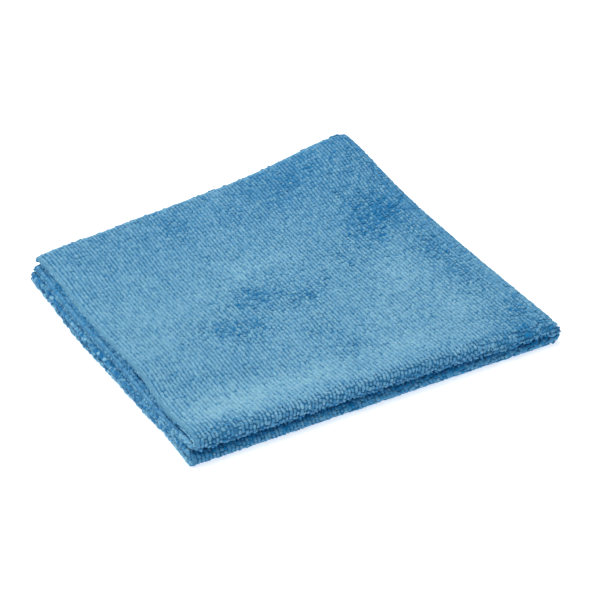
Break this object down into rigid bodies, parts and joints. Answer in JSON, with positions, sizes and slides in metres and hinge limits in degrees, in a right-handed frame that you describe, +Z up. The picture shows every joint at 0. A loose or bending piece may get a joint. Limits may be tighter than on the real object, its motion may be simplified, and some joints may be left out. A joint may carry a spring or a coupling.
{
  "type": "folded microfibre cloth",
  "caption": "Terry microfibre cleaning cloth folded in quarters and lying flat, with two rounded fold edges, open hems on the left and open side edges at the back.",
  "frame": {"origin": "centre of the bounding box's bottom face, on the surface that the cloth lies on", "axes": "+Z up out of the stack of layers, +X along the first fold's edge from the open hems to the second fold, +Y from the first fold's edge to the open side edges"},
  "size_m": [0.208, 0.1948, 0.0203],
  "materials": {
    "cloth": "dull looped pile, soft sheen at grazing angles"
  },
  "bodies": {
    "root": {"cloth": "cloth"}
  },
  "joints": []
}
